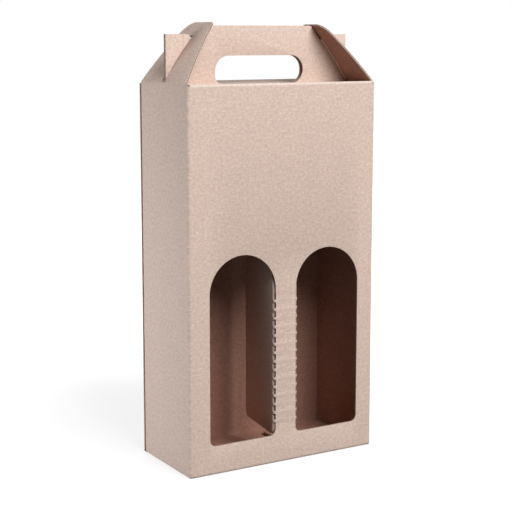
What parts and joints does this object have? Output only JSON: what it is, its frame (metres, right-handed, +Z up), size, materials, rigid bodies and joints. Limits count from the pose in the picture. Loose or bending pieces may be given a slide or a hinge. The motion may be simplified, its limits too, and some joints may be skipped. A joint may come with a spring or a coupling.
{
  "type": "two-bottle wine carton",
  "caption": "Upright folded board carton for wine bottles, with arched windows in the front, a hand hole in the gable top and slotted side flaps that lock over its ears.",
  "frame": {"origin": "centre of the rectangular base, on the surface it stands on", "axes": "+Z up, -Y out of the front with the windows, +X to the right as seen from the front"},
  "size_m": [0.176, 0.083, 0.3607],
  "materials": {
    "board": "matt brown kraft, fine flute"
  },
  "bodies": {
    "carton": {"carton": "board"},
    "left_lock": {"left_lock_flap": "board"},
    "right_lock": {"right_lock_flap": "board"},
    "left_divider": {"left_window_flap": "board"},
    "right_divider": {"right_window_flap": "board"}
  },
  "joints": [
    {"name": "left_lock_hinge", "type": "hinge", "parent": "carton", "child": "left_lock", "pos_m": [-0.088, 0, 0.313], "axis": [0, -1, 0], "range_deg": [0, 200]},
    {"name": "right_lock_hinge", "type": "hinge", "parent": "carton", "child": "right_lock", "pos_m": [0.088, 0, 0.313], "axis": [0, 1, 0], "range_deg": [0, 200]},
    {"name": "left_window_hinge", "type": "hinge", "parent": "carton", "child": "left_divider", "pos_m": [-0.00815, -0.04, 0.085], "axis": [0, 0, 1], "range_deg": [0, 99]},
    {"name": "right_window_hinge", "type": "hinge", "parent": "carton", "child": "right_divider", "pos_m": [0.01135, -0.04, 0.085], "axis": [0, 0, -1], "range_deg": [0, 99]}
  ]
}
